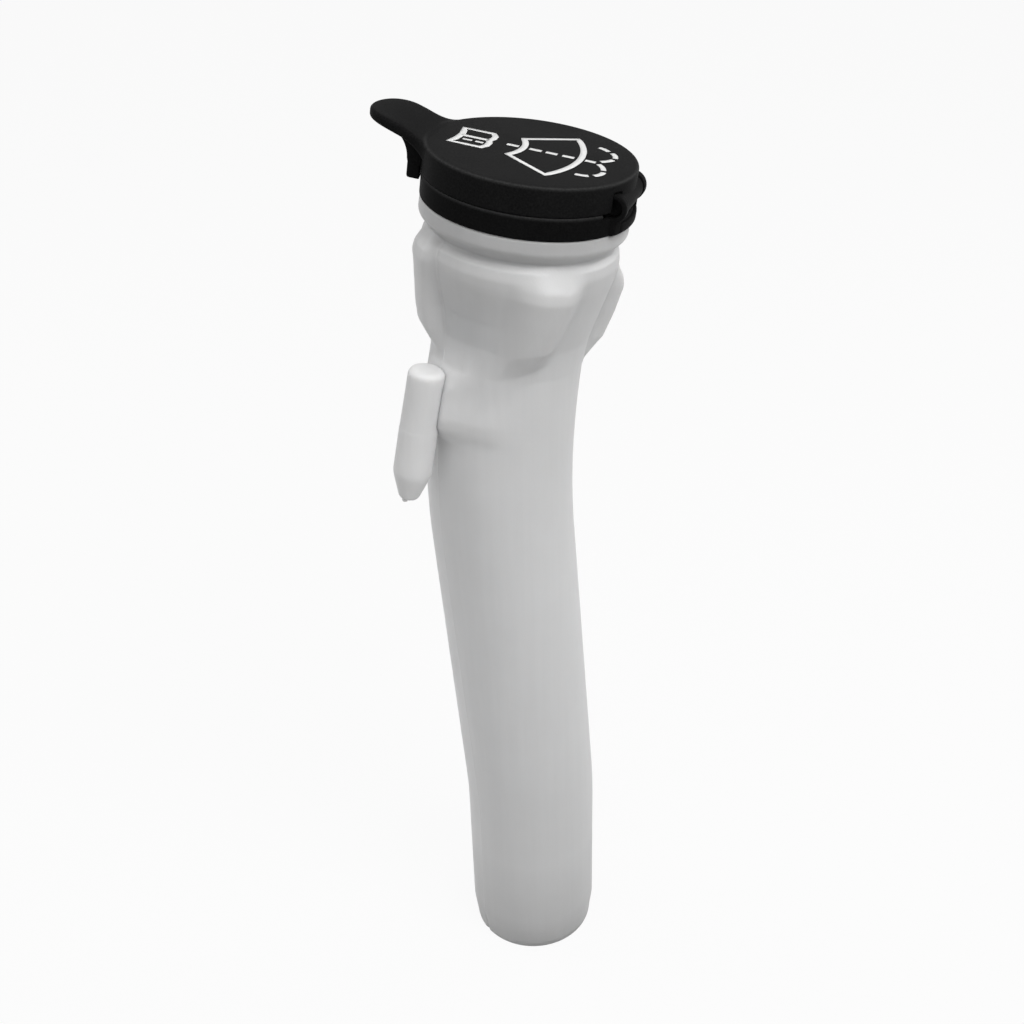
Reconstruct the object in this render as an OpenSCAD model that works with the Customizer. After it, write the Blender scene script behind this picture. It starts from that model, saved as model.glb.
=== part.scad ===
/* [Pipe] */
// outer diameter of the pipe and its spigot
tube_d = 45.4; // [40:0.1:50]
// thickness of the blown wall
wall = 2.2; // [1.6:0.1:2.6]
// straight length of the spigot
spigot_len = 50; // [30:1:80]
// length of the tapered end below the spigot
lead_len = 10; // [6:1:14]
// reduction of the radius over the tapered end
lead_drop = 1.1; // [0.4:0.1:1.6]
// angle of the lower bend
low_bend = 4; // [2:0.5:10]
// centreline radius of the lower bend
low_bend_r = 250; // [120:5:400]
// straight length between the bends
mid_len = 110; // [60:0.5:160]
// angle of the upper bend
top_bend = 14; // [8:0.5:22]
// centreline radius of the upper bend
top_bend_r = 262; // [200:2:400]
// step by which the pipe is slimmer in its bends
bend_step = 0.06; // [0.04:0.01:0.2]
// length by which a bend reaches into the straight runs
bend_lap = 1; // [0.5:0.1:2]

/* [Head] */
// length of the straight head below the collar
head_len = 47; // [44:0.5:60]
// outer diameter of the bead under the collar
bead_d = 60; // [59:0.1:61]
// height of the bead
bead_h = 6; // [5:0.1:6.4]
// depth of the groove below the bead
groove_depth = 2.8; // [2:0.1:3.4]
// depth below the collar at which the groove ends
groove_end = 9; // [8.8:0.1:9.6]
// outer diameter of the shoulder between the lugs
shoulder_d = 57.6; // [56.4:0.1:58.4]
// outer diameter at the waist below the shoulder
waist_d = 50.8; // [49:0.1:52]
// depth of the waist below the collar
waist_at = 28.4; // [26:0.1:30]
// step outward below the waist
waist_step = 0.7; // [0.3:0.1:1.2]

/* [Lugs] */
// reach of the lugs from the head's axis
lug_reach = 31.9; // [30:0.1:32.4]
// width of a lug at its widest point
lug_w = 13.2; // [11:0.1:15]
// width of a lug at its foot
lug_foot_w = 10; // [9:0.1:14]
// lean of the front and back lugs towards the bend
lug_lean = 8; // [0:0.5:10]
// turn of the first lug from the bend plane
lug_turn = -16; // [-40:1:40]
// height by which the lugs step down towards the lean of the head
lug_drop = 4; // [0:0.1:5]
// depth at which a lug begins
lug_top_at = 9.6; // [8.8:0.1:11]
// depth of a lug's widest point below the collar
lug_peak_at = 18.6; // [17:0.1:20]
// depth at which a lug begins to turn in
lug_break_at = 38.5; // [36:0.5:40]
// radius of a lug where it begins to turn in
lug_break_r = 28.1; // [26.5:0.1:28.5]

/* [Mouth] */
// outer diameter of the mouth
mouth_d = 45.6; // [44:0.1:46]
// height of the mouth above the bead
mouth_h = 5.5; // [4:0.1:6]
// step of the retaining ring over the mouth
snap_step = 0.8; // [0.4:0.1:1]

/* [Peg] */
// diameter of the hanging peg
peg_d = 11.6; // [9:0.1:13]
// distance of the peg from the head's axis
peg_at = 28.9; // [28.6:0.1:32]
// lean of the peg's lower end away from the pipe
peg_tilt = 3; // [0:0.5:4]
// depth of the peg's top below the collar
peg_top = 47; // [46:0.5:52]
// depth at which the peg begins to taper
peg_taper_at = 81; // [76:0.5:86]
// depth of the peg's tip
peg_tip_at = 90; // [88:0.5:96]
// step by which the peg is slimmer beside its web
peg_step = 0.1; // [0.05:0.05:0.2]
// diameter of the peg's head
peg_head_d = 10.9; // [9:0.1:11.4]
// diameter of the peg's tip
peg_tip_d = 5; // [3:0.5:7]
// depth of the web's upper edge
web_start = 53; // [48:0.5:56]
// depth of the web's lower edge
web_end = 65.5; // [60:0.5:70]
// height of the web's sides over the pipe
web_proud = 0.3; // [0.2:0.05:0.5]

/* [Collar] */
// outer diameter of the collar and the lid
cap_d = 60.5; // [60:0.1:62]
// height of the collar
collar_h = 6.65; // [6:0.05:7]
// wall of the collar and of the lid's skirt
cap_wall = 2.1; // [1.8:0.1:2.4]
// thickness of the collar's floor
floor_t = 1.8; // [1.4:0.1:2]
// gap between the collar's floor and the mouth
floor_gap = 0.1; // [0.05:0.05:0.2]

/* [Hinge] */
// turn of the hinge about the mouth from the bend plane
cap_turn = -53; // [-90:1:90]
// distance of the hinge axis from the mouth's axis
hinge_at = 27.2; // [27.1:0.1:28]
// height of the hinge axis above the bead
hinge_z = 7.8; // [7.5:0.1:8.2]
// radius of an ear
ear_r = 4.2; // [4.1:0.1:4.6]
// thickness of an ear
ear_t = 3.2; // [2.8:0.1:3.4]
// inner faces of the ears from the middle of the hinge
ear_in = 9.4; // [9:0.1:9.6]
// diameter of the trunnions
pivot_d = 5.5; // [5:0.1:5.8]
// radial gap of the trunnions in the ears
pivot_gap = 0.05; // [0.03:0.01:0.08]
// length of a trunnion inside an ear
pivot_in = 1.8; // [1.2:0.1:2.2]
// radius of the hinge barrel
barrel_r = 3.9; // [3.7:0.1:4.2]
// radius of the collar's base under the hinge
base_r = 31.4; // [30.8:0.1:31.6]
// height of the base between the ears
base_h = 2.4; // [1.6:0.1:2.5]
// height of the collar's notch behind the hinge barrel
notch_low = 3; // [2.6:0.1:3.2]
// free space around the moving faces of the hinge
hinge_gap = 0.3; // [0.3:0.05:0.4]

/* [Lid] */
// height of the lid's top above the bead
lid_top = 15.2; // [14.8:0.1:15.8]
// gap between the collar and the lid
seam = 0.3; // [0.3:0.05:0.5]
// thickness of the lid's plate
plate_t = 1.8; // [1.5:0.1:2]
// rounding of the lid's upper edge
edge_r = 1.5; // [0.5:0.1:2]
// gap between the lid's plug and the mouth
plug_gap = 0.8; // [0.6:0.1:1]
// height of the plug's lower edge above the bead
plug_low = 2; // [1:0.1:3]
// wall of the plug
plug_t = 1.6; // [1.2:0.1:2]

/* [Tab and latch] */
// radius of the tab's upward sweep
tab_sweep_r = 36; // [30:1:44]
// slope of the tab where it leaves the lid
tab_slope = 31; // [22:1:32]
// distance from the axis at which the tab leaves the lid
tab_from = 28; // [27:0.1:29]
// reach of the tab's tip from the axis
tab_reach = 47.9; // [42:0.1:50]
// half width of the tab at the lid
tab_base = 11.8; // [10:0.1:13]
// radius of the tab's round tip
tab_tip_r = 10.6; // [8:0.1:11]
// thickness of the tab
tab_t = 3; // [2.4:0.1:3.2]
// radius of the hollow between the tab and the latch block
tab_hollow_r = 9; // [7:0.1:10]
// width of the latch block
latch_w = 16; // [12:0.5:20]
// thickness of the latch block
latch_t = 3; // [2.4:0.1:3.6]
// height of the latch block's lower edge above the bead
latch_low = 2.6; // [1.5:0.1:4]
// height of the latch block's upper edge above the bead
latch_high = 11; // [10:0.1:13]
// gap between the latch block and the collar
latch_gap = 0.4; // [0.4:0.05:0.6]

/* [Hidden] */
$fn = 96;
tube_r = tube_d / 2;
bore_r = tube_r - wall;
spigot_mid = spigot_len / 2;
head_lean = top_bend - low_bend;
mid_x = -low_bend_r * (1 - cos(low_bend));
mid_z = spigot_mid + low_bend_r * sin(low_bend);
bend_x = mid_x - mid_len * sin(low_bend);
bend_z = mid_z + mid_len * cos(low_bend);
head_x = bend_x + top_bend_r * (cos(low_bend) - cos(head_lean));
head_z = bend_z + top_bend_r * (sin(low_bend) + sin(head_lean));
mouth_x = head_x + head_len * sin(head_lean);
mouth_z = head_z + head_len * cos(head_lean);
mouth_r = mouth_d / 2;
bead_r = bead_d / 2;
groove_r = bead_r - groove_depth;
groove_at = bead_h + 2;
shoulder_r = shoulder_d / 2;
shoulder_at = groove_end + 2.2;
waist_r = waist_d / 2;
lug_root = 15;
lug_crown = 0.9;
peg_r = peg_d / 2;
peg_root_r = peg_r - peg_step;
peg_head_r = peg_head_d / 2;
peg_edge = 0.8;
web_mid = (web_start + web_end) / 2;
web_r = min(peg_r, peg_head_r) - 0.6;
web_foot = tube_r + web_proud;
web_root = tube_r - wall / 2;
web_angle = acos((web_foot - web_r) / peg_at);
cap_r = cap_d / 2;
cap_in = cap_r - cap_wall;
pivot_r = pivot_d / 2;
ear_out = ear_in + ear_t;
skirt_low = collar_h + seam;
plate_low = lid_top - plate_t;
plug_r = mouth_r - wall - plug_gap;
tab_cx = tab_from + tab_sweep_r * sin(tab_slope);
tab_cz = lid_top - 0.8 - tab_sweep_r * cos(tab_slope);
latch_out = cap_r + latch_gap + latch_t;
hollow_x = latch_out + tab_hollow_r + 0.25;
hollow_z = lid_top + 1.6 - tab_hollow_r;
eps = 0.02;

// frames along the pipe
module at_mid() {
    translate([mid_x, 0, mid_z])
        rotate([0, -low_bend, 0])
            children();
}

module at_top_bend() {
    translate([bend_x, 0, bend_z])
        rotate([0, -low_bend, 0])
            children();
}

module at_mouth() {
    translate([mouth_x, 0, mouth_z])
        rotate([0, head_lean, 0])
            children();
}

module at_cap() {
    at_mouth()
        rotate([0, 0, cap_turn])
            children();
}

// a cylinder along the hinge axis between two distances from the hinge's middle
module along_hinge(radius, from, to) {
    translate([hinge_at, from, hinge_z])
        rotate([-90, 0, 0])
            cylinder(r = radius, h = to - from);
}

// straight and bent runs of the pipe with one radius, from the spigot to the head
module pipe_run(radius) {
    translate([0, 0, -spigot_mid])
        cylinder(r = radius, h = spigot_len);
    translate([-low_bend_r, 0, spigot_mid])
        bend(radius - bend_step, low_bend_r, low_bend);
    at_mid()
        cylinder(r = radius, h = mid_len);
    at_top_bend()
        translate([top_bend_r, 0, 0])
            mirror([1, 0, 0])
                bend(radius - bend_step, top_bend_r, top_bend);
}

// a bend in the plane of the pipe that laps into the straight runs at both ends
module bend(radius, centre_r, angle) {
    lap = asin(bend_lap / centre_r);
    rotate([90, 0, 0])
        rotate_extrude(angle = angle + 2 * lap, start = -lap, $fn = 360)
            translate([centre_r, 0])
                circle(r = radius, $fn = 96);
}

// half section of the head; inset is the distance inside the outer skin
module head_section(inset) {
    polygon([
        [0, -inset],
        [bead_r - 1.2 - inset * 0.6, -inset],
        [bead_r - inset, -1.2 - inset * 0.6],
        [bead_r - inset, 1.4 - bead_h],
        [bead_r - 1 - inset, 0.4 - bead_h],
        [groove_r - inset, -groove_at],
        [groove_r - inset, -groove_end],
        [shoulder_r - inset, -shoulder_at],
        [waist_r - inset, -waist_at],
        [waist_r + waist_step - inset, -waist_at - 1.3],
        [tube_r + 1.4 - inset, 11.5 - head_len],
        [tube_r - inset, 3 - head_len],
        [tube_r - inset, -head_len],
        [0, -head_len]
    ]);
}

// half section of a lug swept round the head's axis
module lug_section(inset) {
    polygon([
        [lug_root, -lug_top_at - inset],
        [groove_r - inset, -lug_top_at - inset],
        [lug_reach - lug_crown - inset, lug_crown * 3 - lug_peak_at - inset * 0.4],
        [lug_reach - inset, -lug_peak_at],
        [lug_break_r - inset, -lug_break_at],
        [tube_r - 1 - inset, -head_len],
        [lug_root, -head_len]
    ]);
}

// face of a lug seen from outside, narrowing to its foot
module lug_face(inset) {
    half = lug_w / 2 - inset;
    foot = lug_foot_w / 2 - inset;
    polygon([
        [-half, lug_peak_at],
        [half, lug_peak_at],
        [half, 0],
        [foot, lug_peak_at - head_len],
        [-foot, lug_peak_at - head_len],
        [-half, 0]
    ]);
}

// four lugs trimmed to the section, each at its own height and lean
module lugs(inset) {
    for (quarter = [0 : 3]) {
        turn = lug_turn + 90 * quarter;
        translate([0, 0, -lug_drop * cos(turn)])
            intersection() {
                rotate_extrude()
                    lug_section(inset);
                rotate([0, 0, turn])
                    translate([0, 0, -lug_peak_at])
                        rotate([lug_lean * sin(turn), 0, 0])
                            rotate([90, 0, 90])
                                linear_extrude(height = 2 * lug_reach)
                                    lug_face(inset);
            }
    }
}

// the peg leans about the middle of its web
module peg() {
    translate([-peg_at, 0, -web_mid])
        rotate([0, peg_tilt, 0])
            translate([0, 0, web_mid]) {
                translate([0, 0, -peg_taper_at])
                    cylinder(r = peg_r, h = peg_taper_at - web_end + eps);
                translate([0, 0, -web_end])
                    cylinder(r1 = peg_root_r, r2 = peg_head_r, h = web_end - peg_top - peg_edge);
                translate([0, 0, -peg_top - peg_edge])
                    cylinder(r1 = peg_head_r, r2 = peg_head_r - peg_edge, h = peg_edge);
                translate([0, 0, -peg_tip_at])
                    cylinder(r1 = peg_tip_d / 2, r2 = peg_r, h = peg_tip_at - peg_taper_at);
            }
}

// flat web whose sides run from the peg to the pipe at a tangent
module web() {
    side = sin(web_angle);
    lean = cos(web_angle);
    translate([0, 0, -web_end])
        linear_extrude(height = web_end - web_start)
            polygon([
                [-web_root * lean, web_root * side],
                [-web_foot * lean, web_foot * side],
                [-peg_at - web_r * lean, web_r * side],
                [-peg_at - web_r * lean, -web_r * side],
                [-web_foot * lean, -web_foot * side],
                [-web_root * lean, -web_root * side]
            ]);
    translate([-peg_at, -peg_r / 2, -web_end])
        cube([peg_at - web_root, peg_r, web_end - peg_top - 2 * peg_edge]);
}

module neck_outside() {
    pipe_run(tube_r);
    translate([0, 0, -spigot_mid - lead_len])
        cylinder(r1 = tube_r - lead_drop, r2 = tube_r, h = lead_len);
    at_mouth() {
        rotate_extrude()
            head_section(0);
        lugs(0);
        peg();
        web();
        translate([0, 0, -eps])
            cylinder(r = mouth_r, h = mouth_h + eps);
        translate([0, 0, floor_t + 0.1])
            cylinder(r1 = mouth_r + snap_step, r2 = mouth_r - 0.2, h = 1.6);
    }
}

module neck_inside() {
    pipe_run(bore_r);
    translate([0, 0, -spigot_mid - lead_len - 1])
        cylinder(r = bore_r - lead_drop, h = lead_len + 2);
    translate([0, 0, -spigot_mid - lead_len])
        cylinder(r1 = bore_r - lead_drop, r2 = bore_r, h = lead_len);
    at_mouth() {
        rotate_extrude()
            head_section(wall);
        lugs(wall);
        translate([0, 0, -wall - 1])
            cylinder(r = mouth_r - wall, h = mouth_h + wall + 2);
    }
}

module filler_neck() {
    color([0.88, 0.89, 0.87])
        difference() {
            neck_outside();
            neck_inside();
        }
}

// one ear of the collar: a round boss on a foot that follows the base's curve
module ear() {
    along_hinge(ear_r, ear_in, ear_out);
    base_part(ear_in, ear_out, hinge_z - ear_r + 1.6);
}

// part of the curved base under the hinge between two distances from the hinge's middle
module base_part(from, to, height) {
    intersection() {
        cylinder(r = base_r, h = height);
        translate([mouth_r + 2, from, -1])
            cube([base_r, to - from, height + 2]);
    }
}

module cap_collar() {
    color([0.07, 0.07, 0.08])
        at_cap() {
            difference() {
                union() {
                    cylinder(r = cap_r, h = collar_h);
                    base_part(-ear_in - eps, ear_in + eps, base_h);
                    ear();
                    mirror([0, 1, 0])
                        ear();
                }
                translate([0, 0, -1])
                    cylinder(r = mouth_r + floor_gap, h = collar_h + 2);
                difference() {
                    translate([0, 0, floor_t])
                        cylinder(r = cap_in, h = collar_h);
                    along_hinge(ear_r, ear_in, ear_out);
                    along_hinge(ear_r, -ear_out, -ear_in);
                }
                along_hinge(barrel_r + hinge_gap, -ear_in, ear_in);
                translate([hinge_at, -ear_in, notch_low])
                    cube([cap_r, 2 * ear_in, collar_h]);
                along_hinge(pivot_r + pivot_gap, -ear_out - 1, ear_out + 1);
            }
        }
}

module lid_shell() {
    difference() {
        union() {
            translate([0, 0, skirt_low])
                cylinder(r = cap_r, h = lid_top - edge_r - skirt_low);
            translate([0, 0, lid_top - edge_r])
                cylinder(r = cap_r - edge_r, h = edge_r);
            translate([0, 0, lid_top - edge_r])
                rotate_extrude()
                    translate([cap_r - edge_r, 0])
                        intersection() {
                            circle(r = edge_r);
                            square(edge_r);
                        }
        }
        translate([0, 0, skirt_low - 1])
            cylinder(r = cap_in, h = plate_low - skirt_low + 1);
    }
    difference() {
        translate([0, 0, plug_low])
            cylinder(r = plug_r, h = plate_low - plug_low + eps);
        translate([0, 0, plug_low - 1])
            cylinder(r = plug_r - plug_t, h = plate_low - plug_low + 1);
    }
}

// a cylinder that lies across the tab, at a distance from the axis and a height
module across(from_axis, height, radius, length) {
    translate([-from_axis, length / 2, height])
        rotate([90, 0, 0])
            cylinder(r = radius, h = length);
}

// thumb tab on the side away from the hinge
module tab() {
    intersection() {
        difference() {
            across(tab_cx, tab_cz, tab_sweep_r, 4 * tab_base);
            across(tab_cx, tab_cz, tab_sweep_r - tab_t, 5 * tab_base);
        }
        linear_extrude(height = 2 * lid_top)
            union() {
                polygon([
                    [-cap_in, -tab_base],
                    [-cap_in, tab_base],
                    [tab_tip_r - tab_reach, tab_tip_r],
                    [tab_tip_r - tab_reach, -tab_tip_r]
                ]);
                translate([tab_tip_r - tab_reach, 0])
                    circle(r = tab_tip_r);
            }
    }
}

// block hanging from the skirt in front of the collar, with a hollow curve up to the tab
module latch() {
    difference() {
        union() {
            translate([-latch_out, -latch_w / 2, latch_low])
                cube([cap_wall + latch_gap + latch_t, latch_w, latch_high - latch_low]);
            intersection() {
                translate([-hollow_x, -latch_w / 2, hollow_z])
                    cube([hollow_x - cap_in, latch_w, lid_top]);
                across(tab_cx, tab_cz, tab_sweep_r - tab_t / 2, 4 * tab_base);
            }
        }
        across(hollow_x, hollow_z, tab_hollow_r, 4 * tab_base);
        translate([0, 0, -1])
            cylinder(r = cap_r + latch_gap, h = skirt_low + 1);
        translate([0, 0, skirt_low - 1])
            cylinder(r = cap_r - cap_wall / 2, h = lid_top);
    }
}

module barrel() {
    along_hinge(barrel_r, hinge_gap - ear_in, ear_in - hinge_gap);
    translate([cap_in - 2, hinge_gap - ear_in, hinge_z])
        cube([2.4, 2 * (ear_in - hinge_gap), plate_low - hinge_z + eps]);
}

module lid() {
    color([0.06, 0.06, 0.07])
        at_cap() {
            difference() {
                union() {
                    lid_shell();
                    barrel();
                    tab();
                    latch();
                }
                along_hinge(ear_r + hinge_gap, ear_in - hinge_gap, ear_out + hinge_gap);
                along_hinge(ear_r + hinge_gap, -ear_out - hinge_gap, hinge_gap - ear_in);
            }
            along_hinge(pivot_r, ear_in - hinge_gap - eps, ear_in + pivot_in);
            along_hinge(pivot_r, -ear_in - pivot_in, hinge_gap + eps - ear_in);
        }
}

filler_neck();
cap_collar();
lid();
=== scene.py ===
import math

import bmesh
import bpy
import numpy as np
from mathutils import Matrix, Vector


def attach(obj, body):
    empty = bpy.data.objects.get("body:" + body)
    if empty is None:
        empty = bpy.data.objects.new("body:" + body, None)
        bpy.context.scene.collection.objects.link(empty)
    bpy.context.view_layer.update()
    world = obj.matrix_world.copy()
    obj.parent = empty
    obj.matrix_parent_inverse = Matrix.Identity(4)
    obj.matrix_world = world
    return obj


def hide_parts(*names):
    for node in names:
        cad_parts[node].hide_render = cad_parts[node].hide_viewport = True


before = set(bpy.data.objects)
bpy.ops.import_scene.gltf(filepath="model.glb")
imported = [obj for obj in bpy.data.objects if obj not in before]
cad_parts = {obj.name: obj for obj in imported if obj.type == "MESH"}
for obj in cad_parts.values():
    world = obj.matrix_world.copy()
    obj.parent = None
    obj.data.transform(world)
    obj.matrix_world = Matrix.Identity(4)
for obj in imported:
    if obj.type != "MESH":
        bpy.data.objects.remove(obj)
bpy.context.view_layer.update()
MM = 0.001
MOST_OF_SIDE = 0.48

# pipe and spigot, in millimetres
TUBE_R = 22.7
WALL = 2.2
SPIGOT_LEN = 50
LEAD_LEN = 10
LEAD_DROP = 1.1
LOW_BEND = math.radians(4)
LOW_BEND_R = 250
MID_LEN = 110
TOP_BEND = math.radians(14)
TOP_BEND_R = 262
HEAD_LEN = 47
HEAD_LEAN = TOP_BEND - LOW_BEND

# head, lugs and peg: places are depths below the mouth along the neck's path, and a name with
# OVER gives the two depths or angles that a change eases in between
BEAD_R = 30.2
BEAD_H = 5.2
GROOVE_R = 27.0
SHOULDER_R = 28.9
WAIST_R = 25.6
WAIST_AT = 28.4
WAIST_START = 16
WAIST_END = 47
WAIST_DIP = 1.7
WAIST_SIDE = math.radians(198)
WAIST_SPREAD = 0.5
WAIST_LEAST = 0.12
CREASE_EASE = 0.1
LUG_TURN = math.radians(-16)
LUG_LEAN = math.radians(8)
LUG_R = 30
LUG_DROP = 4
LUG_DROP_OVER = (8, 18)
LUG_PEAK_AT = 18.6
LUG_HALF = 6.6
LUG_FOOT_HALF = 5.0
LUG_SLANT = 0.3
LUG_SLANT_OVER = (30, 40)
LUG_LIFTS = (3.1, 0, -1.4, 2.1)
LUG_LIFT_OVER = (26, 38)
LUG_TRIMS = (0, 0, 0.8, 0)
LUG_TRIM_OVER = (20, 36)
# each lug's left and right softness, then what is added to its left and right half
LUG_SIDES = ((1.2, 2.0, 2.8, 0), (1.6, 1.6, 0, 0), (1.5, 3.0, 0.2, -0.4), (6.5, 4.2, 1.4, 0.3))
MOUTH_R = 22.8
MOUTH_H = 5.5
SNAP_R = 23.6
PEG_R = 5.8
PEG_HEAD_R = 5.45
PEG_AT = 28.9
PEG_TILT = math.radians(3)
PEG_TOP = 47
PEG_TAPER_AT = 81
PEG_TIP_AT = 90
PEG_TIP_R = 2.9
PEG_TURNS = 72
NUB_LOW = -31.4
NUB_TOP = -29.0
NUB_R = 0.85
NUB_ROOT_R = 1.1
NUB_OFF = 1.2
NUB_TURNS = 16
WEB_START = 53
WEB_END = 65.5
WEB_MID = (WEB_START + WEB_END) / 2
WEB_R = 0.6
WEB_RISE_OVER = (39, 49)
WEB_CREST = 23.3
WEB_CREST_OVER = (45, 57)
WEB_PROUD = 1.0
WEB_PROUD_OVER = (52, 62)
WEB_SIDE_EASE = 0.45
WEB_STEEPEST = 1.2
WEB_FOOT = 1.5
WEB_FOOT_OVER = (0.3, 1.0)
WEB_FOOT_EASE = (-0.7, 0.8)
PARTING_HEIGHT = 0.12
PARTING_W = 0.32
PINCH_DEPTH = 0.35
PINCH_W = 0.7
PINCH_OVER = (-2, 3)

# longest steps down the neck: a depth, the step above it and the step below it
OUTER_STEPS = (70, 0.62, 3.2)
INNER_STEPS = (56, 1.6, 9)
LUG_STEP = 0.5
PEG_STEP = 1.5

# cap
CAP_TURN = math.radians(-53)
CAP_R = 30.25
CAP_IN = 28.15
COLLAR_H = 6.65
FLOOR_T = 1.8
FLOOR_IN = MOUTH_R + 0.1
CAP_STEP = 1.2
CAP_TURNS = 192
HINGE_AT = 27.2
HINGE_Z = 7.8
EAR_R = 4.2
EAR_IN = 9.4
EAR_OUT = 12.6
EAR_STEP = 0.7
EAR_TURNS = 72
EAR_FOOT_H = 5.2
EAR_FOOT_INSET = 0.06
BORE_R = 2.8
BORE_PAST = 3
BORE_TURNS = 48
PIVOT_R = 2.75
PIVOT_ROOT = 1
PIVOT_IN = 0.9
BARREL_R = 3.9
HINGE_GAP = 0.3
NOTCH_LOW = 3.0
NOTCH_TOP = COLLAR_H + 4
NOTCH_OUT = CAP_R + 5
LID_TOP = 15.2
SKIRT_LOW = 6.82
PLATE_LOW = 13.4
RIB_IN = CAP_IN - 2
RIB_OUT = CAP_IN + 0.4
RIB_TOP = PLATE_LOW + 0.3
RIB_EASE = 0.3
PLUG_R = 19.8
PLUG_T = 1.6
PLUG_LOW = 2.0
BASE_R = 31.4
BASE_IN = CAP_IN + 0.3
BASE_LOW = 0.05
BASE_H = 2.9
BASE_PAST = 0.3
BASE_EASE = 0.5
TAB_SWEEP_R = 36
TAB_T = 3.0
TAB_CENTRE = (-46.541, -16.458)
TAB_HALF = 10.9
TAB_FLARE_R = 12
TAB_REACH = 47.9
TAB_ROOT = (-18.5, 16.5)
TAB_MIDDLE = (-30, 0)
TAB_EASE = 1.0
TAB_SINK = 0.06
TAB_BLEND = 1.6
TAB_HIDE = 0.4
TAB_HIDE_OVER = (CAP_IN + 0.2, CAP_IN + 1.2)
TAB_MEET_R = CAP_R - 0.2
HOLLOW_R = 9
HOLLOW_CENTRE = (-42.9, 7.8)
HOLLOW_START = -40.2
HOLLOW_ARC = (math.radians(72), math.radians(2))
LATCH_HALF = 8
LATCH_X = -33.65
LATCH_LOW = 2.6
LATCH_FRONT_TOP = 7.2
LATCH_GAP = 0.4
LATCH_ROOT = 0.8
LATCH_EASE = 0.6

# signs on the lid
STROKE_W = 1.8
DASH_W = 1.5
PAGE_LINE_W = 1.1
STROKE_T = 0.12

# what a noise's values mostly lie between
NOISE_LOW = 0.3
NOISE_HIGH = 0.7

# painted highlight: a greyer band along the cap's round edges, standing in for the lamps' glint
# there
HIGHLIGHT_BAND = 0.8
HIGHLIGHT_INSET = 0.3

# painted shade on the neck, darker under the cap and toward the spigot's end where less light
# falls: tone at heights in millimetres, and the heights that they lie between
NECK_SHADE_LOW = -40
NECK_SHADE_HIGH = 270
NECK_PAINTED_SHADE = ((-35, 0.58), (-20, 0.76), (10, 0.92), (70, 1.0), (140, 1.0), (178, 0.92), (215, 0.84),
              (235, 0.79), (254, 0.71), (262, 0.56))

# floor and sky: half the floor's side in metres, its gap in millimetres, and shares of light
FLOOR_HALF = 3
FLOOR_GAP = 0.2
FLOOR_GLOW = 0.93
FLOOR_TONE = 0.62
SKY_LIGHT = 0.32

# lamps: place, aim and size in metres, then power
LAMPS = {
    "key": ((0.05, -0.38, 0.74), (0, 0, 0.16), 0.32, 3.1),
    "fill": ((-0.60, -0.25, 0.55), (0, 0, 0.15), 0.5, 0.75),
    "top": ((-0.05, 0.05, 0.95), (0, 0, 0.25), 0.5, 1.0),
    "side": ((0.68, -0.08, 0.48), (0, 0, 0.15), 0.4, 1.05),
    "back": ((-0.40, 0.62, 0.50), (0, 0, 0.12), 0.5, 1.3),
}

# camera
CAMERA_AT = (-0.239949, -0.339805, 0.461134)
CAMERA_RIGHT = (0.81156, -0.58376, -0.0245)
CAMERA_UP = (0.36233, 0.46994, 0.8049)
CAMERA_LENS = 56.41
CAMERA_SENSOR = 36


# lines and meshes

def smooth(low, high, value):
    """Nothing up to low, one from high on, and an eased rise between."""
    part = np.clip((np.asarray(value, float) - low) / (high - low), 0, 1)
    return part * part * (3 - 2 * part)


def rounded(corners, closed=False, steps=5):
    """Line through corners (a, b, rounding), each corner eased by its rounding."""
    count = len(corners)
    line = []
    for i, (a, b, ease) in enumerate(corners):
        here = np.array((a, b), float)
        if ease == 0 or (not closed and i in (0, count - 1)):
            line.append(here)
            continue
        back = np.array(corners[i - 1][:2], float) - here
        on = np.array(corners[(i + 1) % count][:2], float) - here
        back_len, on_len = np.linalg.norm(back), np.linalg.norm(on)
        back, on = back / back_len, on / on_len
        angle = math.acos(max(-1, min(1, float(back @ on))))
        reach = min(ease / math.tan(angle / 2), MOST_OF_SIDE * back_len, MOST_OF_SIDE * on_len)
        first, last = here + back * reach, here + on * reach
        for k in range(steps + 1):
            t = k / steps
            line.append((1 - t) ** 2 * first + 2 * t * (1 - t) * here + t ** 2 * last)
    return np.array(line)


def spaced(line, gap, closed=False):
    """The line with points added so that no step is longer than a gap, or than gap(point)."""
    ends = np.vstack((line[1:], line[:1])) if closed else line[1:]
    points = []
    for start, end in zip(line, ends):
        longest = gap((start + end) / 2) if callable(gap) else gap
        parts = max(1, math.ceil(np.linalg.norm(end - start) / longest))
        points += [start + (end - start) * k / parts for k in range(parts)]
    if not closed:
        points.append(line[-1])
    return np.array(points)


def shell_of(rings, close_rings=False, close_turn=True):
    """Vertices and faces of a skin over rings of points; a ring of one point is a pole."""
    verts, faces, starts = [], [], []
    for ring in rings:
        starts.append(len(verts))
        verts += [tuple(point) for point in ring]
    pairs = list(zip(range(len(rings) - 1), range(1, len(rings))))
    if close_rings:
        pairs.append((len(rings) - 1, 0))
    for a, b in pairs:
        na, nb = len(rings[a]), len(rings[b])
        count = max(na, nb)
        for k in range(count if close_turn else count - 1):
            k2 = (k + 1) % count
            corners = [starts[a] + (k if na > 1 else 0), starts[a] + (k2 if na > 1 else 0),
                       starts[b] + (k2 if nb > 1 else 0), starts[b] + (k if nb > 1 else 0)]
            faces.append(list(dict.fromkeys(corners)))
    return verts, faces


def lathe(profile, turns, closed=False):
    """Skin turned about z from a line of (radius, height)."""
    angles = np.linspace(0, 2 * math.pi, turns, endpoint=False)
    rings = []
    for radius, height in profile:
        if radius < 1e-6:
            rings.append([(0, 0, height)])
        else:
            rings.append(np.stack((radius * np.cos(angles), radius * np.sin(angles),
                                   np.full(turns, height)), axis=1))
    return shell_of(rings, close_rings=closed)


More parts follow.
